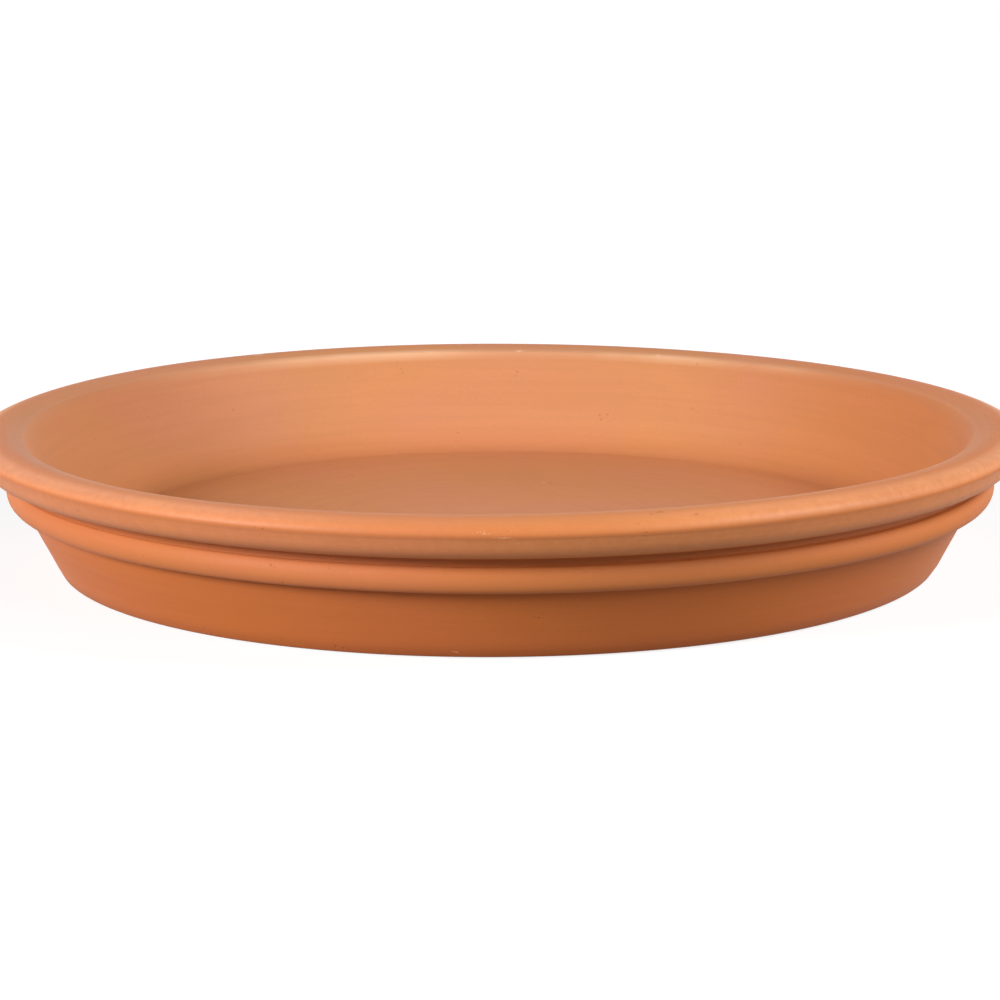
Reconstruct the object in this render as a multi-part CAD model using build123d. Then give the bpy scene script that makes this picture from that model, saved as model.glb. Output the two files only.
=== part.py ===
from build123d import *
import os
from math import atan, cos, degrees, radians, sin, tan

# Saucer for a flower pot: one piece of unglazed fired clay, turned about an upright centre line.
# The origin is in the middle of the foot, on the ground, with +Z up. Lengths are in millimetres
# and angles in degrees. A point of the section is (radius from the centre line, height).

# Overall sizes
rim_diameter = 310.0
overall_height = 42.4
rim_overhang = 14.07  # from the outside wall, under the rolls, out to the widest part of the rim
wall_lean = 27.3  # outside wall from upright

# Crown of the rim: it falls inward over the lip to the well, and outward in a soft edge
crown_height = 5.2  # from the widest part of the rim to the crest
crest_setback = 7.3  # from the widest part of the rim in to the crest
crown_edge_round = 3.85
lip_fall = 24.0  # slope of the lip from level
lip_slope_width = 2.5

# Top roll: a turned line parts it from the crown, and its face leans in and turns under
turned_line_setback = 0.5
turned_line_drop = 0.3  # below the widest part of the rim
roll_face_lean = 31.0  # from upright
roll_corner_drop = 6.4  # from the turned line to the corner of the face and the underside
under_round = 9.5  # at that corner
underside_fall = 15.0  # slope of the underside from level, down to the groove

# Lower roll, which nearly meets the top roll
lower_roll_base = 20.6  # from the ground
lower_roll_height = 6.8
lower_roll_bulge = 2.75
lower_roll_standout = 2.7  # from the outside wall to the middle of the roll's round
groove_undercut = 1.0  # behind the middle of the lower roll's round

# Well, where the pot stands and the water gathers
floor_thickness = 8.1
wall_foot_thickness = 12.4  # level thickness of the wall at the height of the floor
well_round = 12.0  # between the inside wall and the floor

# Foot: a flat ring round a shallow recess
recess_depth = 1.2
recess_slope_width = 1.5
foot_ring_width = 16.0
foot_bevel_width = 1.1
foot_bevel_height = 1.0

# Radii and heights that follow from the sizes above
rim_radius = rim_diameter / 2
rim_widest_height = overall_height - crown_height
crest_radius = rim_radius - crest_setback
lower_roll_top = lower_roll_base + lower_roll_height
floor_height = recess_depth + floor_thickness


def outside_wall_radius(height):
    """Radius of the plain outside wall, as a line that leans out from the foot to the rim."""
    drop = lower_roll_base - height
    return rim_radius - rim_overhang - drop * tan(radians(wall_lean))


def lower_roll():
    """Half round of the lower roll, from its underside to the groove above it."""
    middle_radius = outside_wall_radius(lower_roll_base) + lower_roll_standout
    middle_height = lower_roll_base + lower_roll_height / 2
    return EllipticalCenterArc(
        (middle_radius, middle_height),
        lower_roll_bulge,
        lower_roll_height / 2,
        start_angle=-90,
        arc_size=180,
    )


def groove_and_top_roll(roll_top):
    """Points from the groove's inner corners out under the top roll and up to the turned line."""
    groove_radius = roll_top.X - groove_undercut
    line_radius = rim_radius - turned_line_setback
    line_height = rim_widest_height - turned_line_drop
    corner_radius = line_radius - roll_corner_drop * tan(radians(roll_face_lean))
    corner_height = line_height - roll_corner_drop
    groove_top = corner_height - (corner_radius - groove_radius) * tan(radians(underside_fall))
    return [
        (groove_radius, lower_roll_top),
        (groove_radius, groove_top),
        (corner_radius, corner_height),
        (line_radius, line_height),
    ]


def crown_fall():
    """Slope from level, in degrees, at which the round of the crown passes into its edge."""
    return 2 * degrees(atan((crown_height - crown_edge_round) / (crest_setback - crown_edge_round)))


def crown_edge():
    """Round from the widest part of the rim in to the crown."""
    centre = (rim_radius - crown_edge_round, rim_widest_height)
    return CenterArc(centre, crown_edge_round, start_angle=0, arc_size=90 - crown_fall())


def crown():
    """Round over the crest, from the crown's edge to the lip inside it."""
    fall = crown_fall()
    crown_round = crown_edge_round + (crest_setback - crown_edge_round) / sin(radians(fall))
    centre = (crest_radius, overall_height - crown_round)
    return CenterArc(centre, crown_round, start_angle=90 - fall, arc_size=fall + lip_fall)


def foot_and_wall():
    """Points from the middle of the underside over the foot ring and up the outside wall."""
    foot_radius = outside_wall_radius(0)
    ring_inner_radius = foot_radius - foot_ring_width
    return [
        (0, recess_depth),
        (ring_inner_radius - recess_slope_width, recess_depth),
        (ring_inner_radius, 0),
        (foot_radius - foot_bevel_width, 0),
        (outside_wall_radius(foot_bevel_height), foot_bevel_height),
        (outside_wall_radius(lower_roll_base), lower_roll_base),
    ]


def well(lip_start):
    """Edge of the lip, foot of the inside wall, and the middle of the floor."""
    lip_edge_drop = lip_slope_width * tan(radians(lip_fall))
    return [
        (lip_start.X - lip_slope_width, lip_start.Y - lip_edge_drop),
        (outside_wall_radius(floor_height) - wall_foot_thickness, floor_height),
        (0, floor_height),
    ]


def saucer_section():
    """Half section of the saucer, closed on the centre line."""
    with BuildSketch(Plane.XZ) as section:
        with BuildLine():
            roll_face = lower_roll()
            edge = crown_edge()
            rim_top = crown()
            Polyline(*foot_and_wall(), roll_face @ 0)
            FilletPolyline(
                roll_face @ 1,
                *groove_and_top_roll(roll_face @ 1),
                edge @ 0,
                radius=[0, 0, under_round, 0],
            )
            FilletPolyline(rim_top @ 1, *well(rim_top @ 1), radius=[0, well_round])
            Line((0, floor_height), (0, recess_depth))
        make_face()
    return section.sketch


def saucer_body():
    """The whole saucer, its section turned once round the centre line."""
    body = revolve(saucer_section(), axis=Axis.Z).solid()
    body.label = "saucer_body"
    return body


os.makedirs("parts", exist_ok=True)
for piece in [saucer_body()]:
    export_step(piece, f"parts/{piece.label}.step")
    size = piece.bounding_box().size
    print(f"{piece.label}: {size.X:.2f} x {size.Y:.2f} x {size.Z:.2f} mm, {piece.volume:.0f} mm3")
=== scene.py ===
import math
import random

import bpy
import numpy as np
from bpy.props import FloatProperty, FloatVectorProperty, IntProperty, PointerProperty
from mathutils import Matrix, Vector


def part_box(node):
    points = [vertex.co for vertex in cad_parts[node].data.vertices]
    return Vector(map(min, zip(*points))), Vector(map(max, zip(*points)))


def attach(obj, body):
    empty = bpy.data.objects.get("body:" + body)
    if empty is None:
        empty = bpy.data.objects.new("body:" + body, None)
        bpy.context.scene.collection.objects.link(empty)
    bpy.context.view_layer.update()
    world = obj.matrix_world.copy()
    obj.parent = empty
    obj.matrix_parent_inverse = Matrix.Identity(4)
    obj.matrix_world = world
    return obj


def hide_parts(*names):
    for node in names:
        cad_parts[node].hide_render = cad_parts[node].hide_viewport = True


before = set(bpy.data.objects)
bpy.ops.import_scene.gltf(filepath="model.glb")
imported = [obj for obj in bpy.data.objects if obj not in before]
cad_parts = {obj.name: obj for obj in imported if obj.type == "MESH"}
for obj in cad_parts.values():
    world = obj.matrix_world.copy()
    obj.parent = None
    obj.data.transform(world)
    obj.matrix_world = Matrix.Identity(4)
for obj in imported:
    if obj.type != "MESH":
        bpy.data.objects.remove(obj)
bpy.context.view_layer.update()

# A terracotta saucer for a flower pot, turned about the Z axis, and the table top studio that shows it.
# Lengths are in metres. A bearing is an angle round the saucer: 0 is the front, at -Y, and it grows
# towards the right, at +X. The half section of the saucer is drawn as (radius, height) points.

bl_info = {
    "name": "Terracotta plant saucer",
    "version": (1, 0, 0),
    "blender": (4, 5, 0),
    "location": "3D View > Sidebar > Saucer",
    "description": "Turns the clay body of a plant saucer and sets it on a plain lit floor",
    "category": "Add Mesh",
}

CLAY_NODE = "saucer_body"

clay_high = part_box(CLAY_NODE)[1]
FULL_RADIUS = clay_high.x
FULL_HEIGHT = clay_high.z

# Settings


class SaucerSection(bpy.types.PropertyGroup):
    """Sizes of the turned section, from the rim down."""

    crown_height: FloatProperty(
        name="Crown height", description="From the widest part of the rim up to the crest",
        default=0.0046, unit="LENGTH")
    crest_setback: FloatProperty(
        name="Crest setback", description="From the widest part of the rim in to the crest",
        default=0.0073, unit="LENGTH")
    crown_edge_round: FloatProperty(
        name="Crown edge round", description="Radius of the soft edge outside the crown",
        default=0.0036, unit="LENGTH")
    lip_fall: FloatProperty(
        name="Lip fall", description="Slope of the lip inside the crest, from level",
        default=math.radians(24.0), subtype="ANGLE")
    lip_slope_width: FloatProperty(
        name="Lip slope", description="Level width of the lip's straight slope",
        default=0.0025, unit="LENGTH")
    lip_edge_round: FloatProperty(
        name="Lip edge", description="Rounding of the edge between the lip and the well",
        default=0.0016, unit="LENGTH")
    turned_line_setback: FloatProperty(
        name="Turned line setback", description="From the widest part of the rim in to the turned line",
        default=0.0004, unit="LENGTH")
    turned_line_drop: FloatProperty(
        name="Turned line drop", description="From the widest part of the rim down to the turned line",
        default=0.0009, unit="LENGTH")
    turned_line_round: FloatProperty(
        name="Turned line round", description="Rounding of the bottom of the turned line",
        default=0.0013, unit="LENGTH")
    rim_edge_round: FloatProperty(
        name="Rim edge round", description="Rounding between the crown's edge and the turned line",
        default=0.0018, unit="LENGTH")
    roll_face_lean: FloatProperty(
        name="Roll face lean", description="Lean of the top roll's face, from upright",
        default=math.radians(31.0), subtype="ANGLE")
    roll_corner_drop: FloatProperty(
        name="Roll corner drop", description="From the turned line to the corner under the top roll",
        default=0.0051, unit="LENGTH")
    face_bulge: FloatProperty(
        name="Face bulge", description="How far the top roll's face swells in its middle",
        default=0.0007, unit="LENGTH")
    face_bulge_length: FloatProperty(
        name="Bulge length", description="From the turned line down and under to the end of the swelling",
        default=0.0095, unit="LENGTH")
    under_round: FloatProperty(
        name="Underside round", description="Rounding at the corner under the top roll",
        default=0.0095, unit="LENGTH")
    underside_fall: FloatProperty(
        name="Underside fall", description="Slope of the underside from level, down to the groove",
        default=math.radians(15.0), subtype="ANGLE")
    lower_roll_base: FloatProperty(
        name="Lower roll base", description="From the ground to the lower roll",
        default=0.0206, unit="LENGTH")
    lower_roll_height: FloatProperty(
        name="Lower roll height", description="Thickness of the lower roll",
        default=0.0077, unit="LENGTH")
    lower_roll_bulge: FloatProperty(
        name="Lower roll bulge", description="How far the round of the lower roll swells",
        default=0.00275, unit="LENGTH")
    lower_roll_standout: FloatProperty(
        name="Lower roll standout", description="From the wall to the middle of the roll's round",
        default=0.0027, unit="LENGTH")
    groove_start: FloatProperty(
        name="Groove start", description="Angle up the lower roll's round at which the groove begins",
        default=math.radians(62.0), subtype="ANGLE")
    groove_undercut: FloatProperty(
        name="Groove undercut", description="From the end of the lower roll's round in to the groove",
        default=0.0006, unit="LENGTH")
    groove_round: FloatProperty(
        name="Groove round", description="Rounding in the corners of the groove",
        default=0.0005, unit="LENGTH")
    root_round: FloatProperty(
        name="Roll root round", description="Rounding where the lower roll springs from the wall",
        default=0.0008, unit="LENGTH")
    foot_diameter: FloatProperty(
        name="Foot diameter", description="Where the line of the outside wall meets the ground",
        default=0.2606, unit="LENGTH")
    wall_lean: FloatProperty(
        name="Wall lean", description="Outside wall from upright",
        default=math.radians(27.3), subtype="ANGLE")
    floor_height: FloatProperty(
        name="Floor height", description="From the ground to the floor of the well",
        default=0.0093, unit="LENGTH")
    wall_foot_thickness: FloatProperty(
        name="Wall at the foot", description="Level thickness of the wall at floor height",
        default=0.0124, unit="LENGTH")
    well_round: FloatProperty(
        name="Well round", description="Rounding between the inside wall and the floor",
        default=0.0120, unit="LENGTH")
    foot_round: FloatProperty(
        name="Foot round", description="Rounding where the wall meets the ground",
        default=0.0012, unit="LENGTH")
    foot_ring_width: FloatProperty(
        name="Foot ring width", description="Flat ring that the saucer stands on",
        default=0.0160, unit="LENGTH")
    recess_slope_width: FloatProperty(
        name="Recess slope", description="Level width of the slope inside the foot ring",
        default=0.0015, unit="LENGTH")
    recess_depth: FloatProperty(
        name="Recess depth", description="Depth of the recess under the floor",
        default=0.0012, unit="LENGTH")
    recess_round: FloatProperty(
        name="Recess round", description="Rounding at both sides of the recess slope",
        default=0.0009, unit="LENGTH")


class SaucerHandwork(bpy.types.PropertyGroup):
    """How far the fired clay is from a true turned form."""

    crest_tilt: FloatProperty(
        name="Crest tilt", description="How far the crest rises on one side and falls on the other",
        default=0.00053, unit="LENGTH")
    crest_tilt_bearing: FloatProperty(
        name="Tilt bearing", description="Bearing at which the tilted crest is highest",
        default=math.radians(7.0), subtype="ANGLE")
    crest_warp: FloatProperty(
        name="Crest warp", description="How far the crest rises and falls twice round, from drying",
        default=0.00048, unit="LENGTH")
    crest_warp_bearing: FloatProperty(
        name="Warp bearing", description="Bearing at which the warped crest is highest",
        default=math.radians(40.0), subtype="ANGLE")
    foot_wear: FloatProperty(
        name="Foot wear", description="How deep the edge of the foot is worn where it is worn most",
        default=0.00045, unit="LENGTH")
    foot_wear_bearing: FloatProperty(
        name="Wear bearing", description="Bearing at which the foot is worn most",
        default=math.radians(60.0), subtype="ANGLE")
    wobble: FloatProperty(
        name="Wobble", description="Slow waves in the thrown wall",
        default=0.00012, unit="LENGTH")
    turning_ripple: FloatProperty(
        name="Turning ripple", description="Height of the fine rings left by turning",
        default=0.00003, unit="LENGTH")
    turning_pitch: FloatProperty(
        name="Turning pitch", description="From one turned ring to the next",
        default=0.0046, unit="LENGTH")
    roll_shift: FloatProperty(
        name="Lower roll shift", description="How far the lower roll sits off the centre line",
        default=0.0006, unit="LENGTH")
    seed: IntProperty(
        name="Seed", description="Picks the waves and rings", default=7)


class SaucerClay(bpy.types.PropertyGroup):
    """Colours and grain of the unglazed clay."""

    body_colour: FloatVectorProperty(
        name="Body", description="Fired clay outside, below the crown",
        default=(0.618, 0.172, 0.049), subtype="COLOR")
    bloom_colour: FloatVectorProperty(
        name="Bloom", description="Paler, drier clay, most in the well, less on the crown and rolls",
        default=(0.622, 0.258, 0.124), subtype="COLOR")
    # Painted highlight: this paler colour stands in for the lamps' highlights on the crown's edge at both
    # sides and for light on the top roll's face
    painted_highlight_colour: FloatVectorProperty(
        name="Rubbed", description="Clay rubbed by hands, on the crown's edge and the top roll",
        default=(0.80, 0.31, 0.142), subtype="COLOR")
    ochre_tint: FloatVectorProperty(
        name="Ochre tint", description="What the yellower patches keep of the red, green and blue",
        default=(0.96, 0.975, 0.83), subtype="COLOR")
    # Deep colour: real in chips and pores, and painted shade in the hollows, along the turned line and at
    # the foot
    deep_and_shade_colour: FloatVectorProperty(
        name="Deep", description="Clay in grooves, chips and pores, where dust and damp stay",
        default=(0.33, 0.080, 0.020), subtype="COLOR")
    # The pale colour also paints the highlights, the glint and the dent's light side among the pale marks
    pale_colour: FloatVectorProperty(
        name="Pale", description="Chalky clay on worn edges and in scuffs",
        default=(0.86, 0.50, 0.30), subtype="COLOR")
    patch_size: FloatProperty(
        name="Patch size", description="Width of the soft patches of colour",
        default=0.055, unit="LENGTH")
    grain_size: FloatProperty(
        name="Grain size", description="Width of the fine grain of the clay",
        default=0.0011, unit="LENGTH")
    grain_depth: FloatProperty(
        name="Grain depth", description="Depth of the fine grain",
        default=0.00002, unit="LENGTH")
    roughness: FloatProperty(
        name="Roughness", description="Middle roughness of the clay",
        default=0.52, subtype="FACTOR")
    sheen: FloatProperty(
        name="Sheen", description="How much the porous clay shines, where 0.5 is a glazed pot",
        default=0.12, subtype="FACTOR")


class SaucerStage(bpy.types.PropertyGroup):
    """Camera, lamps and floor."""

    camera_distance: FloatProperty(
        name="Camera distance", description="From the camera to the point that it circles",
        default=1.0033, unit="LENGTH")
    camera_rise: FloatProperty(
        name="Camera rise", description="How far the camera looks down on the saucer",
        default=0.19325, subtype="ANGLE")
    camera_pivot_height: FloatProperty(
        name="Camera pivot", description="Height of the point that the camera circles",
        default=0.0217, unit="LENGTH")
    camera_dip: FloatProperty(
        name="Camera dip", description="How far the view is tilted below that point",
        default=0.005227, subtype="ANGLE")
    camera_turn: FloatProperty(
        name="Camera turn", description="How far the view is turned to the right",
        default=0.000525, subtype="ANGLE")
    camera_roll: FloatProperty(
        name="Camera roll", description="How far the camera is rolled",
        default=-0.004198, subtype="ANGLE")
    lens: FloatProperty(
        name="Lens", description="Focal length for a 36 mm sensor, in millimetres",
        default=120.61)
    room_light: FloatProperty(
        name="Room light", description="Brightness of the even light from all round",
        default=0.02)
    floor_tone: FloatProperty(
        name="Floor tone", description="How much light the floor throws back", default=0.28,
        subtype="FACTOR")
    near_glow: FloatProperty(
        name="Near glow", description="Light of the floor as it is seen close to the saucer",
        default=0.80)
    near_reach: FloatProperty(
        name="Near reach", description="Distance from the middle up to which the near glow holds",
        default=0.20, unit="LENGTH")
    far_reach: FloatProperty(
        name="Far reach", description="Distance from the middle beyond which the floor looks white",
        default=0.60, unit="LENGTH")


class SaucerSettings(bpy.types.PropertyGroup):
    """All settings of the saucer and its stage."""

    section: PointerProperty(type=SaucerSection, name="Section", description="The turned section")
    handwork: PointerProperty(type=SaucerHandwork, name="Handwork", description="Marks of making")
    clay: PointerProperty(type=SaucerClay, name="Clay", description="Colour and grain")
    stage: PointerProperty(type=SaucerStage, name="Stage", description="Camera, lamps and floor")


def settings():
    """The settings of the scene that is being made."""
    return bpy.context.scene.saucer_settings


# Half section

SAME_POINT = 1e-6  # points closer than this are one point
ARC_STEP = math.radians(13.0)  # turn from point to point round a corner
RIM_ARC_STEP = math.radians(8.0)
WALL_STEP = 0.0036  # longest step between points of the section
DISC_STEP = 0.0200  # the same on the flats of the floor and the recess


def rounded(corners, turn_step=ARC_STEP):
    """Points of a line through (radius, height, rounding) corners, with an arc at each rounding."""
    points = [Vector(corners[0][:2])]
    for before, corner, after in zip(corners, corners[1:], corners[2:]):
        here = Vector(corner[:2])
        rounding = corner[2]
        if rounding == 0:
            points.append(here)
            continue
        inward = (Vector(before[:2]) - here).normalized()
        outward = (Vector(after[:2]) - here).normalized()
        turn = math.pi - inward.angle(outward)
        reach = rounding * math.tan(turn / 2)
        steps = max(2, math.ceil(turn / turn_step))
        centre = here + (inward + outward).normalized() * (rounding / math.cos(turn / 2))
        start = here + inward * reach - centre
        side = 1 if inward.x * outward.y - inward.y * outward.x < 0 else -1
        for step in range(steps + 1):
            angle = side * turn * step / steps
            spoke = Vector((
                start.x * math.cos(angle) - start.y * math.sin(angle),
                start.x * math.sin(angle) + start.y * math.cos(angle),
            ))
            points.append(centre + spoke)
    points.append(Vector(corners[-1][:2]))
    return points


def oval_arc(centre, width, height, first, last, steps):
    """Points of part of an oval, from the angle first to the angle last."""
    turns = [first + (last - first) * step / steps for step in range(steps + 1)]
    return [Vector((centre[0] + width * math.cos(t), centre[1] + height * math.sin(t))) for t in turns]


def outside_wall_radius(section, height):
    """Radius of the plain outside wall at a height."""
    return section.foot_diameter / 2 + height * math.tan(section.wall_lean)


def foot_and_wall(section, roll_start):
    """From the middle of the underside over the foot ring and up the wall to the lower roll."""
    foot = outside_wall_radius(section, 0)
    base = section.lower_roll_base
    ring_inside = foot - section.foot_ring_width
    return rounded([
        (0, section.recess_depth, 0),
        (ring_inside - section.recess_slope_width, section.recess_depth, section.recess_round),
        (ring_inside, 0, section.recess_round),
        (foot, 0, section.foot_round),
        (outside_wall_radius(section, base), base, section.root_round),
        (roll_start.x, roll_start.y, 0),
    ])


def lower_roll(section):
    """Round of the lower roll, from its underside to the groove."""
    half = section.lower_roll_height / 2
    middle = outside_wall_radius(section, section.lower_roll_base) + section.lower_roll_standout
    return oval_arc(
        (middle, section.lower_roll_base + half), section.lower_roll_bulge, half,
        -math.pi / 2, section.groove_start, steps=13)


def crown(section):
    """From the widest part of the rim over its soft edge and the crest to the start of the lip."""
    edge = section.crown_edge_round
    depth = section.crest_setback - edge
    fall = 2 * math.atan((section.crown_height - edge) / depth)
    crown_round = edge + depth / math.sin(fall)
    edge_centre = (FULL_RADIUS - edge, FULL_HEIGHT - section.crown_height)
    crown_centre = (FULL_RADIUS - section.crest_setback, FULL_HEIGHT - crown_round)
    edge_end = math.pi / 2 - fall
    lip_start = math.pi / 2 + section.lip_fall
    outer = oval_arc(edge_centre, edge, edge, 0, edge_end, steps=6)
    return outer + oval_arc(crown_centre, crown_round, crown_round, edge_end, lip_start, steps=12)


def groove_and_top_roll(section, roll_top, crown_start, crown_next):
    """The groove between the rolls, and the top roll up to the widest part of the rim."""
    neck = roll_top.x - section.groove_undercut
    line_radius = FULL_RADIUS - section.turned_line_setback
    line_height = crown_start.y - section.turned_line_drop
    corner_radius = line_radius - section.roll_corner_drop * math.tan(section.roll_face_lean)
    corner_height = line_height - section.roll_corner_drop
    groove_top = corner_height - (corner_radius - neck) * math.tan(section.underside_fall)
    return rounded([
        (roll_top.x, roll_top.y, 0),
        (neck, roll_top.y, section.groove_round),
        (neck, groove_top, section.groove_round),
        (corner_radius, corner_height, section.under_round),
        (line_radius, line_height, section.turned_line_round),
        (crown_start.x, crown_start.y, section.rim_edge_round),
        (crown_next.x, crown_next.y, 0),
    ], RIM_ARC_STEP)


def well(section, lip_start):
    """Lip, inside wall and floor of the well."""
    lip_drop = section.lip_slope_width * math.tan(section.lip_fall)
    wall_foot = outside_wall_radius(section, section.floor_height) - section.wall_foot_thickness
    return rounded([
        (lip_start.x, lip_start.y, 0),
        (lip_start.x - section.lip_slope_width, lip_start.y - lip_drop, section.lip_edge_round),
        (wall_foot, section.floor_height, section.well_round),
        (0, section.floor_height, 0),
    ])


def saucer_outline(section):
    """Half section from the middle of the underside round to the middle of the floor."""
    roll = lower_roll(section)
    top = crown(section)
    corners = foot_and_wall(section, roll[0]) + roll
    corners += groove_and_top_roll(section, roll[-1], top[0], top[1])
    corners += top[2:] + well(section, top[-1])
    ring_inside = outside_wall_radius(section, 0) - section.foot_ring_width
    points = [corners[0]]
    for corner in corners[1:]:
        last = points[-1]
        length = (corner - last).length
        if length < SAME_POINT:
            continue
        on_disc = abs(corner.y - last.y) < SAME_POINT and min(corner.x, last.x) < ring_inside
        pieces = math.ceil(length / (DISC_STEP if on_disc else WALL_STEP))
        points += [last.lerp(corner, (k + 1) / pieces) for k in range(pieces)]
    return np.array([tuple(p) for p in points])


class SectionLine:
    """The half section with its outward normals, and the length so far and the bend at each point."""

    def __init__(self, points):
        ahead = np.gradient(points, axis=0)
        ahead /= np.linalg.norm(ahead, axis=1, keepdims=True)
        steps = np.linalg.norm(np.diff(points, axis=0), axis=1)
        self.radius = points[:, 0]
        self.height = points[:, 1]
        self.normals = np.stack([ahead[:, 1], -ahead[:, 0]], axis=1)
        self.along = np.concatenate([[0], np.cumsum(steps)])
        self.bend = np.gradient(np.unwrap(np.arctan2(ahead[:, 1], ahead[:, 0])), self.along)
        self.widest = self.along[self.radius.argmax()]
        self.crest = self.along[self.height.argmax()]

    def spread_bend(self, reach=0.0008):
        """Bend averaged over a short reach, so that an edge shows as one soft band."""
        gaps = self.along[:, None] - self.along[None, :]
        weight = np.exp(-(gaps / reach) ** 2) * np.gradient(self.along)[None, :]
        return (weight * self.bend[None, :]).sum(1) / (reach * math.sqrt(math.pi))


# Marks of making

# Waves in the thrown wall: how many times each goes round, and its share of the whole wobble
WAVE_SHARES = (((2, 3), 0.6), ((4, 5, 7), 0.3), ((11, 13, 17), 0.12))
WAVE_GROWTH = 1.5  # power by which the waves grow with height
RING_DRIFT = 1.3  # radians by which the turned rings wander round the saucer
STRAIGHT_BEND = 60.0  # bend, in radians per metre, above which there are no turned rings
CALM_FOOT = (0.0005, 0.0030)  # heights between which waves and rings begin
FOOT_WEAR_REACH = 0.0018
ROLL_FADE = 0.001  # at the top and bottom of the lower roll's shift


def smooth_step(low, high, value):
    """0 up to low, 1 from high, and a smooth rise between them."""
    share = np.clip((value - low) / (high - low), 0.0, 1.0)
    return share * share * (3 - 2 * share)


def band(rise, full, fade, end, value):
    """1 from full to fade, and 0 before rise and after end."""
    return smooth_step(rise, full, value) * (1 - smooth_step(fade, end, value))


def slow_waves(bearings, dice, turns, least=0.4, most=1.0):
    """A smooth wave round the saucer, about -1 to 1, made of whole numbers of turns."""
    wave = sum(
        dice.uniform(least, most) * np.cos(turn * bearings + dice.uniform(0, 2 * math.pi)) / turn
        for turn in turns)
    return wave / sum((least + most) / 2 / turn for turn in turns)


def wall_waves(line, bearings, dice, work):
    """Slow waves in the thrown wall, which grow towards the rim."""
    height_share = np.clip(line.height / FULL_HEIGHT, 0, 1)
    out = np.zeros((len(bearings), len(height_share)))
    for turns, share in WAVE_SHARES:
        wave = slow_waves(bearings, dice, turns)
        out += work.wobble * share * wave[:, None] * height_share[None, :] ** WAVE_GROWTH
    return out


def turned_rings(line, bearings, dice, work):
    """Fine rings left by turning, where the section runs straight."""
    drift = slow_waves(bearings, dice, (1, 2, 3))
    turned = 2 * math.pi * line.along / work.turning_pitch
    rings = np.sin(turned[None, :] + RING_DRIFT * drift[:, None])
    rings *= 0.6 + 0.4 * slow_waves(bearings, dice, (2, 5))[:, None]
    straight = np.exp(-(np.abs(line.bend) / STRAIGHT_BEND) ** 2)
    return work.turning_ripple * rings * straight[None, :]


def face_swelling(line, section):
    """How far the top roll's face swells, from the turned line down and under."""
    line_radius = FULL_RADIUS - section.turned_line_setback
    line_height = FULL_HEIGHT - section.crown_height - section.turned_line_drop
    from_line = np.hypot(line.radius - line_radius, line.height - line_height)
    below_line = line.along[from_line.argmin()] - line.along
    return section.face_bulge * np.sin(math.pi * np.clip(below_line / section.face_bulge_length, 0, 1))


def worn_foot(line, bearings, section, work):
    """How deep the edge of the foot is worn away, most at one bearing and not at all opposite."""
    from_edge = np.hypot(line.radius - section.foot_diameter / 2, line.height)
    wear = work.foot_wear * (0.5 + 0.5 * np.cos(bearings - work.foot_wear_bearing))
    return wear[:, None] * np.exp(-(from_edge / FOOT_WEAR_REACH) ** 2)[None, :]


def on_lower_roll(line, section):
    """1 on the lower roll and 0 on the rest of the section."""
    base = section.lower_roll_base
    top = base + section.lower_roll_height
    share = band(base - 2 * ROLL_FADE, base + ROLL_FADE, top - ROLL_FADE, top + ROLL_FADE, line.height)
    return share * (line.radius > outside_wall_radius(section, base) - ROLL_FADE)


def crest_lift(bearings, work):
    """How far the crest is lifted round the saucer, 0 where it is highest and less elsewhere."""
    lift = work.crest_tilt * np.cos(bearings - work.crest_tilt_bearing)
    lift = lift + work.crest_warp * np.cos(2 * (bearings - work.crest_warp_bearing))
    return lift - lift.max()


def thrown_shape(line, bearings, section, work):
    """Radius and height of all points, as rings of the section with the marks of making."""
    dice = random.Random(work.seed)
    out = wall_waves(line, bearings, dice, work)
    out += turned_rings(line, bearings, dice, work)
    out *= smooth_step(*CALM_FOOT, line.height)[None, :]
    out += face_swelling(line, section)[None, :]
    out -= worn_foot(line, bearings, section, work)
    radius = line.radius[None, :] + out * line.normals[None, :, 0]
    radius += work.roll_shift * np.sin(bearings)[:, None] * on_lower_roll(line, section)[None, :]
    height = line.height[None, :] + out * line.normals[None, :, 1]
    near_crest = smooth_step(FULL_HEIGHT - section.crown_height, FULL_HEIGHT, line.height)
    height += crest_lift(bearings, work)[:, None] * near_crest[None, :]
    return radius, height


# Shares of colour, stored on the mesh

# Steps of the paler bloom along the section: the place that each is measured from, where it begins and
# is full from there, and the share of bloom that it adds
BLOOM_STEPS = (
    ("widest", -0.0270, -0.0220, 0.30),  # from the lower roll on
    ("widest", 0.0010, 0.0050, 0.25),  # over the crown
    ("crest", 0.0000, 0.0040, 0.45),  # over the lip and down the well
    ("crest", 0.0300, 0.0450, -0.32),  # on the floor of the well
)
# Share of rubbed clay and painted highlight, along the section: where it rises and is full, then fades and
# ends
FACE_RUB_AND_HIGHLIGHT = (-0.0090, -0.0040, -0.0012, 0.0)  # from the widest part of the rim
CROWN_RUB_AND_HIGHLIGHT_RISE = (-0.0004, 0.0016)  # from the widest part of the rim
CROWN_RUB_AND_HIGHLIGHT_FADE = (-0.0050, -0.0012)  # from the crest
SIDE_SINES = (0.15, 0.50)  # of the bearings between which the front passes into a side
FACE_RUB_AND_HIGHLIGHT_SHARE = 0.50
FRONT_RUB_AND_HIGHLIGHT_SHARE = 0.15  # on the crown's edge, at the front and back
# The sides get more, as painted highlight where the lamps shine on the crown's edge
SIDE_RUB_AND_HIGHLIGHT_SHARE = 0.75  # more at both sides

SHARP_BEND = (60.0, 700.0)  # bend, in radians per metre, from a plain surface to a full edge
# Painted shade: the turned line is darkened as the shade along it
TURNED_LINE_DEPTH = 0.0012  # from the widest part of the rim down to the dark of the turned line
TURNED_LINE_WIDTH = 0.0008


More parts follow.
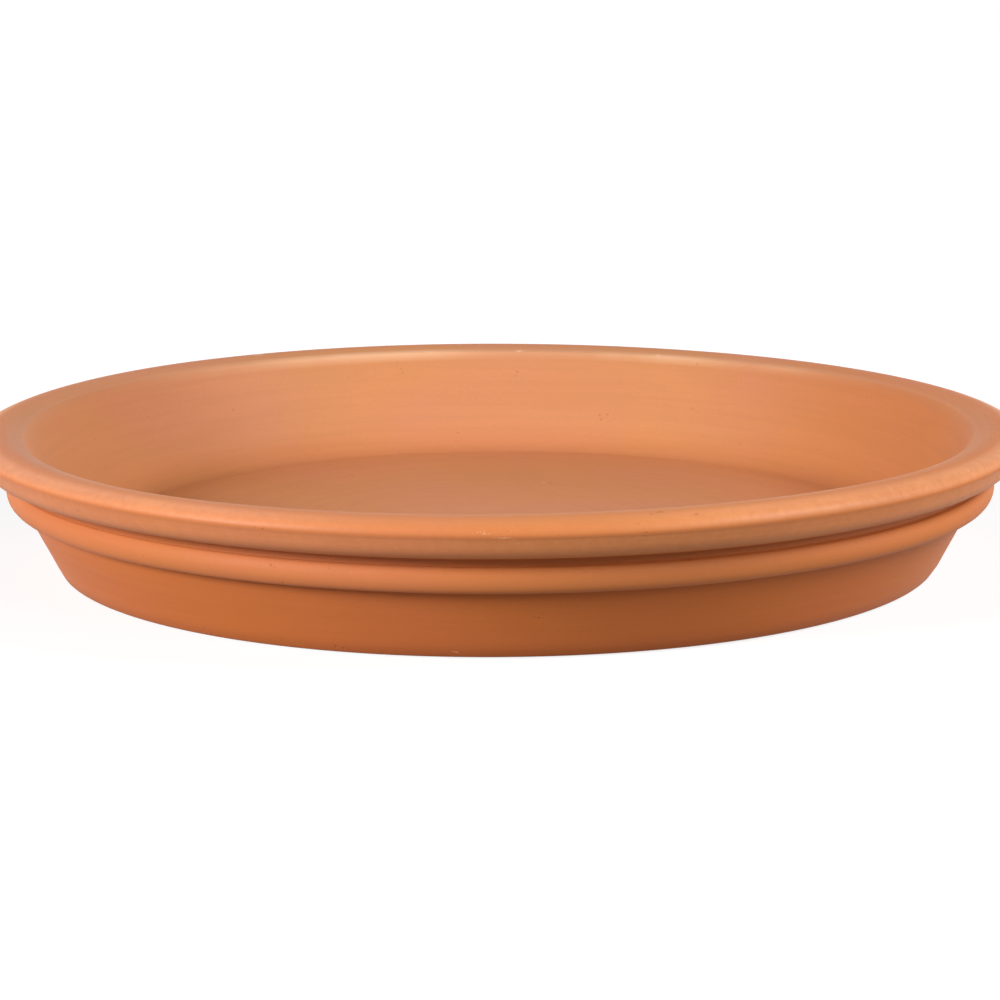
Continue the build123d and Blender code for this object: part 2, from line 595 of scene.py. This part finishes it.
def bloom_share(line):
    """How far the clay has the paler bloom, at each point of the section."""
    share = 0.0
    for landmark, begin, full, added in BLOOM_STEPS:
        place = getattr(line, landmark)
        share = share + added * smooth_step(place + begin, place + full, line.along)
    return share


def rub_and_highlight_share(line, bearings):
    """How far the clay is rubbed and painted with a highlight: on the roll's face, and on the crown's edge
    at both sides, where the lamps' highlights fall.
    """
    rise = [line.widest + place for place in CROWN_RUB_AND_HIGHLIGHT_RISE]
    fade = [line.crest + place for place in CROWN_RUB_AND_HIGHLIGHT_FADE]
    face = band(*[line.widest + place for place in FACE_RUB_AND_HIGHLIGHT], line.along)
    crown_edge = band(*rise, *fade, line.along)
    at_bearing = FRONT_RUB_AND_HIGHLIGHT_SHARE + SIDE_RUB_AND_HIGHLIGHT_SHARE * smooth_step(*SIDE_SINES, np.abs(np.sin(bearings)))
    return FACE_RUB_AND_HIGHLIGHT_SHARE * face[None, :] + at_bearing[:, None] * crown_edge[None, :]


def edge_share(line):
    """How far the clay is an edge that is painted pale. Only the edges inside the crest are."""
    return smooth_step(*SHARP_BEND, line.spread_bend()) * (line.along > line.crest)


def hollow_shade_share(line):
    """How far the clay is a hollow or the turned line, painted deep in colour as shade, with a little dust
    in the hollows.
    """
    from_line = (line.along - line.widest + TURNED_LINE_DEPTH) / TURNED_LINE_WIDTH
    return np.maximum(smooth_step(*SHARP_BEND, -line.spread_bend()), np.exp(-from_line ** 2))


def put_share(mesh, name, share, around):
    """Stores a share, given for the section or for each bearing too, on the points of the mesh."""
    share = np.broadcast_to(share, (around, share.shape[-1]))
    values = np.concatenate([share[:, 1:-1].reshape(-1), share[0, [0, -1]]])
    layer = mesh.attributes.new(name, "FLOAT", "POINT")
    layer.data.foreach_set("value", values.astype(np.float32))


# Turned clay body


def closed_body(radius, height, bearings):
    """Points and faces of the body: the section joined round the saucer, and its two middle points."""
    x = radius * np.sin(bearings)[:, None]
    y = -radius * np.cos(bearings)[:, None]
    fit = min(1.0, FULL_RADIUS / max(np.abs(x).max(), np.abs(y).max()))
    height = np.clip(height, 0, FULL_HEIGHT)
    body = np.stack([x * fit, y * fit, height], axis=2)[:, 1:-1]
    around, rings = body.shape[:2]
    under_middle = around * rings
    floor_middle = under_middle + 1
    ends = [(0, 0, height[:, 0].mean()), (0, 0, height[:, -1].mean())]
    faces = []
    for i in range(around):
        here = i * rings
        beside = (i + 1) % around * rings
        faces.append((under_middle, beside, here))
        faces += [(here + j, beside + j, beside + j + 1, here + j + 1) for j in range(rings - 1)]
        faces.append((floor_middle, here + rings - 1, beside + rings - 1))
    return np.concatenate([body.reshape(-1, 3), ends]), faces


def clay_mesh(section, work, around=720):
    """The closed mesh of the saucer, with its shares of bloom, rubbing and painted highlight, pale edge,
    and hollow and turned-line shade.
    """
    line = SectionLine(saucer_outline(section))
    bearings = np.linspace(0, 2 * math.pi, around, endpoint=False)
    radius, height = thrown_shape(line, bearings, section, work)
    points, faces = closed_body(radius, height, bearings)
    mesh = bpy.data.meshes.new(CLAY_NODE + "_clay")
    mesh.from_pydata(points.tolist(), [], faces)
    mesh.polygons.foreach_set("use_smooth", [True] * len(mesh.polygons))
    put_share(mesh, "bloom", bloom_share(line), around)
    # The rubbed share carries both real polish and the painted highlight
    put_share(mesh, "rubbed", rub_and_highlight_share(line, bearings), around)
    put_share(mesh, "edge", edge_share(line), around)
    # The hollow share paints shade in the grooves and along the turned line, with a little dust
    put_share(mesh, "hollow", hollow_shade_share(line), around)
    mesh.update()
    return mesh


# Clay finish

# Sizes of the clay's noises, as how many fit in a metre
STREAK_SCALE = 420.0
SPECKLE_SCALE = 380.0
PORE_SCALE = 420.0
PORE_PATCH_SCALE = 130.0
RAGGED_SCALE = 1500.0

# Depths of the relief, in metres
STREAK_DEPTH = 0.00003
PORE_DEPTH = 0.00010
CHIP_DEPTH = 0.00025

RAGGED_REACH = 0.0016  # how far a mark's edge is pushed about

# Places, in metres from the middle or the ground, between which the colour changes
# Painted shade: the bloom is weakened at the right and at the far left, where less light falls
RIGHT_PAINTED_SHADE = (0.05, 0.15)
LEFT_PAINTED_SHADE = (-0.15, -0.08)
BACK_RISE = (0.06, 0.13)
# Painted shade: heights over which the clay near the ground is darkened as contact shade
FOOT_SHADE = (0.0002, 0.0040)

# Marks of use, among them a few painted highlights, a painted glint and painted shade, each with its
# bearing in degrees, radius, height, length round the saucer and width in metres, and how strongly it
# shows
PALE_MARKS = (
    # Scuffs on the crest and the lip along the back, and a painted glint where the lip's inner edge turns
    # at the right
    (-147.0, 0.1469, 0.0414, 0.0060, 0.0016, 0.70),
    (-158.0, 0.1414, 0.0396, 0.0080, 0.0013, 0.60),
    (-170.5, 0.1413, 0.0394, 0.0050, 0.0013, 0.60),
    (177.0, 0.1413, 0.0393, 0.0045, 0.0015, 0.90),
    (157.5, 0.1414, 0.0394, 0.0020, 0.0018, 0.80),
    (67.0, 0.1410, 0.0395, 0.0026, 0.0012, 0.50),
    # Scuffs round the widest part of the rim and on the crown's edge
    (-1.5, 0.1546, 0.0389, 0.0060, 0.0007, 0.40),
    (0.5, 0.1549, 0.0377, 0.0080, 0.0006, 0.45),
    (2.0, 0.1541, 0.0362, 0.0050, 0.0006, 0.35),
    (57.0, 0.1530, 0.0405, 0.0120, 0.0006, 0.40),
    # Painted highlight on the light side of a dent in the floor of the well, and a painted highlight at
    # the foot
    (166.5, 0.0645, 0.0093, 0.0030, 0.0014, 0.45),
    (-5.0, 0.1312, 0.0020, 0.0022, 0.0007, 0.55),
)
DARK_MARKS = (
    # Nicks near the crest at the front right
    (16.0, 0.1499, 0.0420, 0.0030, 0.0014, 0.60),
    (15.0, 0.1508, 0.0417, 0.0016, 0.0012, 0.45),
    (19.5, 0.1522, 0.0411, 0.0026, 0.0010, 0.55),
    # Scratches round the crown's edge at the right
    (45.0, 0.1537, 0.0400, 0.0150, 0.0006, 0.45),
    (50.0, 0.1533, 0.0403, 0.0110, 0.0005, 0.40),
    (61.0, 0.1534, 0.0401, 0.0090, 0.0006, 0.45),
    # Painted shade on the dark side of the dent in the floor, which is also sunk as relief
    (165.5, 0.0642, 0.0093, 0.0018, 0.0011, 0.60),
)


def colour(value):
    """A colour with full cover."""
    return (*value, 1.0)


class Sheet:
    """The node sheet of a material or a world, with short ways to place and join its nodes."""

    def __init__(self, material):
        material.use_nodes = True
        self.tree = material.node_tree
        self.tree.nodes.clear()

    def put(self, kind, options=None, **links):
        """A node with its own options. Links are values or sources, by socket name or by number, as n0."""
        node = self.tree.nodes.new(kind)
        for name, value in (options or {}).items():
            setattr(node, name, value)
        for name, value in links.items():
            self.join(node, name, value)
        return node

    def join(self, node, name, value):
        """Sets a socket of a node, or links another node's socket to it."""
        by_number = name[0] == "n" and name[1:].isdigit()
        socket = node.inputs[int(name[1:]) if by_number else name.replace("_", " ")]
        if isinstance(value, bpy.types.NodeSocket):
            self.tree.links.new(value, socket)
        else:
            socket.default_value = value

    def math(self, operation, *values, clamp=False):
        options = {"operation": operation, "use_clamp": clamp}
        numbered = {f"n{number}": value for number, value in enumerate(values)}
        return self.put("ShaderNodeMath", options, **numbered).outputs[0]

    def times(self, first, second):
        return self.math("MULTIPLY", first, second)

    def vector(self, operation, **links):
        return self.put("ShaderNodeVectorMath", {"operation": operation}, **links).outputs[0]

    def length(self, place):
        return self.put("ShaderNodeVectorMath", {"operation": "LENGTH"}, n0=place).outputs["Value"]

    def mix(self, share, first, second, blend="MIX"):
        options = {"data_type": "RGBA", "blend_type": blend}
        return self.put("ShaderNodeMix", options, n0=share, n6=first, n7=second).outputs[2]

    def noise(self, place, scale, detail=2.0, roughness=0.5, distortion=0.0):
        return self.put(
            "ShaderNodeTexNoise", Vector=place, Scale=scale, Detail=detail,
            Roughness=roughness, Distortion=distortion).outputs["Fac"]

    def ramp(self, value, low, high, to_low=0.0, to_high=1.0):
        """A smooth passage from to_low, where the value is low, to to_high, where it is high."""
        return self.put(
            "ShaderNodeMapRange", {"interpolation_type": "SMOOTHSTEP"},
            Value=value, From_Min=low, From_Max=high, To_Min=to_low, To_Max=to_high).outputs["Result"]

    def finish(self, kind, shader):
        """Sends a shader to the output of a material or a world."""
        self.put(kind, Surface=shader.outputs[0])


def turned_place(sheet, split, climb=0.8, squeeze=0.006):
    """A place, from its split parts, in which noise runs in long streaks round the saucer."""
    flat = sheet.put("ShaderNodeCombineXYZ", X=split["X"], Y=split["Y"]).outputs[0]
    across = sheet.math("ADD", sheet.length(flat), sheet.times(split["Z"], climb))
    round_it = sheet.vector("SCALE", n0=sheet.vector("NORMALIZE", n0=flat), Scale=squeeze)
    lift = sheet.put("ShaderNodeCombineXYZ", Z=across).outputs[0]
    return sheet.vector("ADD", n0=round_it, n1=lift)


def ragged_place(sheet, place):
    """Places pushed about by a fine noise, so that a mark has a ragged edge."""
    noise = sheet.put("ShaderNodeTexNoise", Vector=place, Scale=RAGGED_SCALE, Detail=2.0)
    centred = sheet.vector("SUBTRACT", n0=noise.outputs["Color"], n1=(0.5, 0.5, 0.5))
    return sheet.vector("ADD", n0=place, n1=sheet.vector("SCALE", n0=centred, Scale=RAGGED_REACH))


def mark_share(sheet, place, marks, core=0.4, fringe=1.1):
    """How much any of the marks shows at a place."""
    total = 0.0
    for bearing, radius, height, length, width, strength in marks:
        turn = math.radians(bearing)
        middle = (radius * math.sin(turn), -radius * math.cos(turn), height)
        inside = sheet.put(
            "ShaderNodeMapping", {"vector_type": "TEXTURE"}, Vector=place, Location=middle,
            Rotation=(0, 0, turn), Scale=(length / 2, width / 2, width / 2)).outputs[0]
        share = sheet.ramp(sheet.length(inside), core, fringe, strength, 0.0)
        total = sheet.math("MAXIMUM", share, total)
    return total


class ClaySheet(Sheet):
    """The node sheet of the clay: its noises and shares, and the layers of colour and relief."""

    def __init__(self, material, clay):
        super().__init__(material)
        self.clay = clay
        self.deep = colour(clay.deep_and_shade_colour)
        self.pale = colour(clay.pale_colour)
        self.place = self.put("ShaderNodeTexCoord").outputs["Object"]
        self.split = self.put("ShaderNodeSeparateXYZ", Vector=self.place).outputs
        streak_place = turned_place(self, self.split)
        self.patches = self.noise(self.place, 1 / clay.patch_size, detail=3.0, distortion=0.4)
        self.drift = self.noise(self.place, 0.55 / clay.patch_size, detail=1.0)
        self.grain = self.noise(self.place, 1 / clay.grain_size, detail=4.0, roughness=0.6)
        self.streaks = self.noise(streak_place, STREAK_SCALE, detail=3.0, roughness=0.55)
        # Rubbed share: smoother, shinier clay, and where the colour is painted with highlights
        self.rubbed = self.stored("rubbed")
        self.pores = self.sparse_pores()
        ragged = ragged_place(self, self.place)
        self.scuffs_and_highlights = mark_share(self, ragged, PALE_MARKS)
        self.chips = mark_share(self, ragged, DARK_MARKS)

    def stored(self, name):
        """A share that the mesh has stored on its points."""
        return self.put("ShaderNodeAttribute", {"attribute_name": name}).outputs["Fac"]

    def sparse_pores(self):
        """Pores, in a few patches only."""
        pores = self.put("ShaderNodeTexVoronoi", Vector=self.place, Scale=PORE_SCALE, Randomness=1.0)
        sparse = self.ramp(self.noise(self.place, PORE_PATCH_SCALE, detail=1.0), 0.62, 0.70)
        return self.times(self.ramp(pores.outputs["Distance"], 0.08, 0.20, 1.0, 0.0), sparse)

    def bloomed(self):
        """The body colour with its paler bloom. The bloom is weaker at the right and at the far left,
        which paints shade there.
        """
        share = self.times(self.stored("bloom"), self.ramp(self.split["X"], *RIGHT_PAINTED_SHADE, 1.0, 0.45))
        share = self.times(share, self.ramp(self.split["X"], *LEFT_PAINTED_SHADE, 0.80, 1.0))
        return self.mix(share, colour(self.clay.body_colour), colour(self.clay.bloom_colour))

    def painted_highlight_over(self, tone):
        """Painted highlight: a paler colour where the rubbed share is, on the roll's face and on the
        crown's edge at both sides, uneven from patch to patch and speckled.
        """
        speckle = self.noise(self.place, SPECKLE_SCALE, detail=3.0, roughness=0.6)
        share = self.times(self.rubbed, self.ramp(self.patches, 0.3, 0.7, 0.65, 0.95))
        share = self.times(share, self.ramp(speckle, 0.35, 0.65, 0.75, 1.10))
        return self.mix(share, tone, colour(self.clay.painted_highlight_colour))

    def patched(self, tone):
        """Wide patches of yellower clay."""
        ochre = self.mix(1.0, tone, colour(self.clay.ochre_tint), blend="MULTIPLY")
        blotches = self.math("ADD", self.times(self.patches, 0.6), self.times(self.drift, 0.4))
        return self.mix(self.ramp(blotches, 0.40, 0.60), tone, ochre)

    def grained(self, tone):
        """A little lighter and darker with the grain, the turning streaks and the patches."""
        value = self.math("MULTIPLY_ADD", self.grain, 0.10, 0.95)
        value = self.times(value, self.ramp(self.streaks, 0.25, 0.75, 0.975, 1.025))
        value = self.times(value, self.ramp(self.patches, 0.25, 0.75, 0.97, 1.03))
        level = self.put("ShaderNodeCombineColor", Red=value, Green=value, Blue=value).outputs[0]
        return self.mix(1.0, tone, level, blend="MULTIPLY")

    # Painted shade: this layer also darkens the hollows, the turned line and the foot as shade
    def worn(self, tone, hollow_shade_strength=0.15, foot_shade_strength=0.35):
        """Pale on the edges inside the crest, most at the back, and painted shade in the hollows, along
        the turned line and at the foot.
        """
        share = self.times(self.stored("edge"), self.ramp(self.patches, 0.35, 0.65, 0.25, 0.75))
        share = self.times(share, self.ramp(self.split["Y"], *BACK_RISE, 0.10, 1.0))
        tone = self.mix(share, tone, self.pale)
        tone = self.mix(self.times(self.stored("hollow"), hollow_shade_strength), tone, self.deep)
        # Painted shade: the foot is darkened where it meets the ground
        foot_shade = self.ramp(self.split["Z"], *FOOT_SHADE, foot_shade_strength, 0.0)
        return self.mix(foot_shade, tone, self.deep)

    def marked(self, tone, pore_strength=0.30, chip_strength=0.55):
        """Pores, scuffs and chips, with painted highlights, a painted glint and painted shade among the
        marks.
        """
        tone = self.mix(self.times(self.pores, pore_strength), tone, self.deep)
        tone = self.mix(self.scuffs_and_highlights, tone, self.pale)
        return self.mix(self.times(self.chips, chip_strength), tone, self.deep)

    def roughness(self, smoother=0.04, rougher=0.06, polish=0.08):
        """Matte, uneven with the grain, and a little smoother where the rubbed share is."""
        middle = self.clay.roughness
        grainy = self.ramp(self.grain, 0.3, 0.7, middle - smoother, middle + rougher)
        return self.math("SUBTRACT", grainy, self.times(self.rubbed, polish))

    def sheen(self, polish=0.15):
        """Faint, and a little more where the rubbed share is."""
        return self.math("ADD", self.times(self.rubbed, polish), self.clay.sheen)

    def relief(self):
        """Grain and turning streaks, with pores and chips sunk into them."""
        height = self.times(self.grain, self.clay.grain_depth)
        height = self.math("ADD", height, self.times(self.streaks, STREAK_DEPTH))
        height = self.math("SUBTRACT", height, self.times(self.pores, PORE_DEPTH))
        height = self.math("SUBTRACT", height, self.times(self.chips, CHIP_DEPTH))
        return self.put("ShaderNodeBump", Height=height, Distance=1.0, Strength=1.0).outputs[0]


def clay_material(clay):
    """Unglazed terracotta: soft patches, grain, turning streaks, pores, pale edges and deep hollows."""
    material = bpy.data.materials.new("fired_clay")
    sheet = ClaySheet(material, clay)
    tone = sheet.bloomed()
    for layer in (sheet.painted_highlight_over, sheet.patched, sheet.grained, sheet.worn, sheet.marked):
        tone = layer(tone)
    shader = sheet.put(
        "ShaderNodeBsdfPrincipled", Base_Color=tone, Roughness=sheet.roughness(),
        Specular_IOR_Level=sheet.sheen(), Normal=sheet.relief())
    sheet.finish("ShaderNodeOutputMaterial", shader)
    return material


class SAUCER_OT_turn_body(bpy.types.Operator):
    """Turns the clay body of the saucer and gives it its fired finish"""

    bl_idname = "saucer.turn_body"
    bl_label = "Turn the saucer body"

    def execute(self, context):
        chosen = settings()
        mesh = clay_mesh(chosen.section, chosen.handwork)
        mesh.materials.append(clay_material(chosen.clay))
        body = bpy.data.objects.new("saucer_clay", mesh)
        context.scene.collection.objects.link(body)
        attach(body, "root")
        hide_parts(CLAY_NODE)
        return {"FINISHED"}


# Stage

WHITE = (1.0, 1.0, 1.0, 1.0)
SENSOR_WIDTH = 36.0  # in millimetres, as the lens is

# Each lamp: name, bearing and rise in degrees, distance, width and height in metres, power in watts
SOFT_BOXES = (
    ("left_box", -54.0, 22.0, 1.6, 0.50, 0.50, 25.0),
    ("left_low_box", -45.0, 6.0, 1.6, 0.75, 0.75, 1.0),
    ("right_low_box", 90.0, 6.0, 1.6, 0.75, 0.75, 7.0),
    ("right_box", 72.0, 37.0, 1.6, 0.50, 0.50, 12.5),
    ("front_box", 35.0, 28.0, 1.6, 0.60, 0.60, 7.5),
    ("back_box", 180.0, 8.0, 1.6, 0.75, 0.75, 1.0),
)


def hang_soft_box(name, bearing, rise, distance, width, height, power):
    """A soft box that faces the middle of the saucer."""
    lamp = bpy.data.lights.new(name, "AREA")
    lamp.shape = "RECTANGLE"
    lamp.size = width
    lamp.size_y = height
    lamp.energy = power
    box = bpy.data.objects.new(name, lamp)
    turn = math.radians(bearing)
    climb = math.radians(rise)
    away = Vector((math.sin(turn) * math.cos(climb), -math.cos(turn) * math.cos(climb), math.sin(climb)))
    box.location = away * distance
    box.rotation_euler = away.to_track_quat("Z", "Y").to_euler()
    bpy.context.scene.collection.objects.link(box)


def seen_directly(sheet):
    """1 for a ray from the camera, or one by a reflection or through glass, and 0 for lighting."""
    rays = sheet.put("ShaderNodeLightPath").outputs
    either = sheet.math("ADD", rays["Is Camera Ray"], rays["Is Glossy Ray"])
    return sheet.math("ADD", either, rays["Is Transmission Ray"], clamp=True)


def floor_material(stage):
    """White floor that keeps a shadow: it throws back light as a grey card does, and looks white."""
    material = bpy.data.materials.new("floor_card")
    sheet = Sheet(material)
    card = sheet.put("ShaderNodeBsdfDiffuse", Color=colour([stage.floor_tone] * 3))
    reach = sheet.length(sheet.put("ShaderNodeTexCoord").outputs["Object"])
    light = sheet.ramp(reach, stage.near_reach, stage.far_reach, stage.near_glow, 1.0)
    lift = sheet.times(seen_directly(sheet), light)
    glow = sheet.put("ShaderNodeEmission", Color=WHITE, Strength=lift)
    both = sheet.put("ShaderNodeAddShader", n0=card.outputs[0], n1=glow.outputs[0])
    sheet.finish("ShaderNodeOutputMaterial", both)
    return material


def room_world(stage):
    """Even light from all round, white where it is seen."""
    world = bpy.data.worlds.new("studio_room")
    sheet = Sheet(world)
    strength = sheet.ramp(seen_directly(sheet), 0.0, 1.0, stage.room_light, 1.0)
    light = sheet.put("ShaderNodeBackground", Color=WHITE, Strength=strength)
    sheet.finish("ShaderNodeOutputWorld", light)
    return world


def lay_floor(stage, half_width=8.0):
    """A plain square floor, far wider than the view."""
    mesh = bpy.data.meshes.new("floor")
    signs = ((-1, -1), (1, -1), (1, 1), (-1, 1))
    mesh.from_pydata([(half_width * x, half_width * y, 0) for x, y in signs], [], [(0, 1, 2, 3)])
    mesh.materials.append(floor_material(stage))
    floor = bpy.data.objects.new("floor", mesh)
    bpy.context.scene.collection.objects.link(floor)


def stand_camera(stage):
    """The camera at the photograph's viewing angle, with a slight turn, dip and roll."""
    rise = stage.camera_rise
    back = Vector((0, -math.cos(rise), math.sin(rise)))
    facing = back.to_track_quat("Z", "Y").to_matrix()
    facing = facing @ Matrix.Rotation(-stage.camera_turn, 3, "Y")
    facing = facing @ Matrix.Rotation(-stage.camera_dip, 3, "X")
    facing = facing @ Matrix.Rotation(stage.camera_roll, 3, "Z")
    lens = bpy.data.cameras.new("camera")
    lens.sensor_width = SENSOR_WIDTH
    lens.lens = stage.lens
    lens.clip_start = 0.05
    lens.clip_end = 60.0
    camera = bpy.data.objects.new("camera", lens)
    camera.location = Vector((0, 0, stage.camera_pivot_height)) + back * stage.camera_distance
    camera.rotation_euler = facing.to_euler()
    bpy.context.scene.collection.objects.link(camera)
    bpy.context.scene.camera = camera


class SAUCER_OT_set_stage(bpy.types.Operator):
    """Lays the floor, hangs the lamps and stands the camera"""

    bl_idname = "saucer.set_stage"
    bl_label = "Set the stage"

    def execute(self, context):
        stage = settings().stage
        lay_floor(stage)
        context.scene.world = room_world(stage)
        for soft_box in SOFT_BOXES:
            hang_soft_box(*soft_box)
        stand_camera(stage)
        context.scene.view_settings.view_transform = "Standard"
        return {"FINISHED"}


class SAUCER_PT_panel(bpy.types.Panel):
    """Lists the steps that make the saucer"""

    bl_label = "Plant saucer"
    bl_idname = "SAUCER_PT_panel"
    bl_space_type = "VIEW_3D"
    bl_region_type = "UI"
    bl_category = "Saucer"

    def draw(self, context):
        layout = self.layout
        layout.operator(SAUCER_OT_turn_body.bl_idname)
        layout.operator(SAUCER_OT_set_stage.bl_idname)
        chosen = settings()
        for group in (chosen.section, chosen.handwork, chosen.clay, chosen.stage):
            box = layout.box()
            for name in group.__annotations__:
                box.prop(group, name)


CLASSES = (
    SaucerSection,
    SaucerHandwork,
    SaucerClay,
    SaucerStage,
    SaucerSettings,
    SAUCER_OT_turn_body,
    SAUCER_OT_set_stage,
    SAUCER_PT_panel,
)


def register():
    for item in CLASSES:
        bpy.utils.register_class(item)
    bpy.types.Scene.saucer_settings = PointerProperty(type=SaucerSettings)


def unregister():
    del bpy.types.Scene.saucer_settings
    for item in reversed(CLASSES):
        bpy.utils.unregister_class(item)


def main():
    register()
    bpy.ops.saucer.turn_body()
    bpy.ops.saucer.set_stage()


if __name__ == "__main__":
    main()
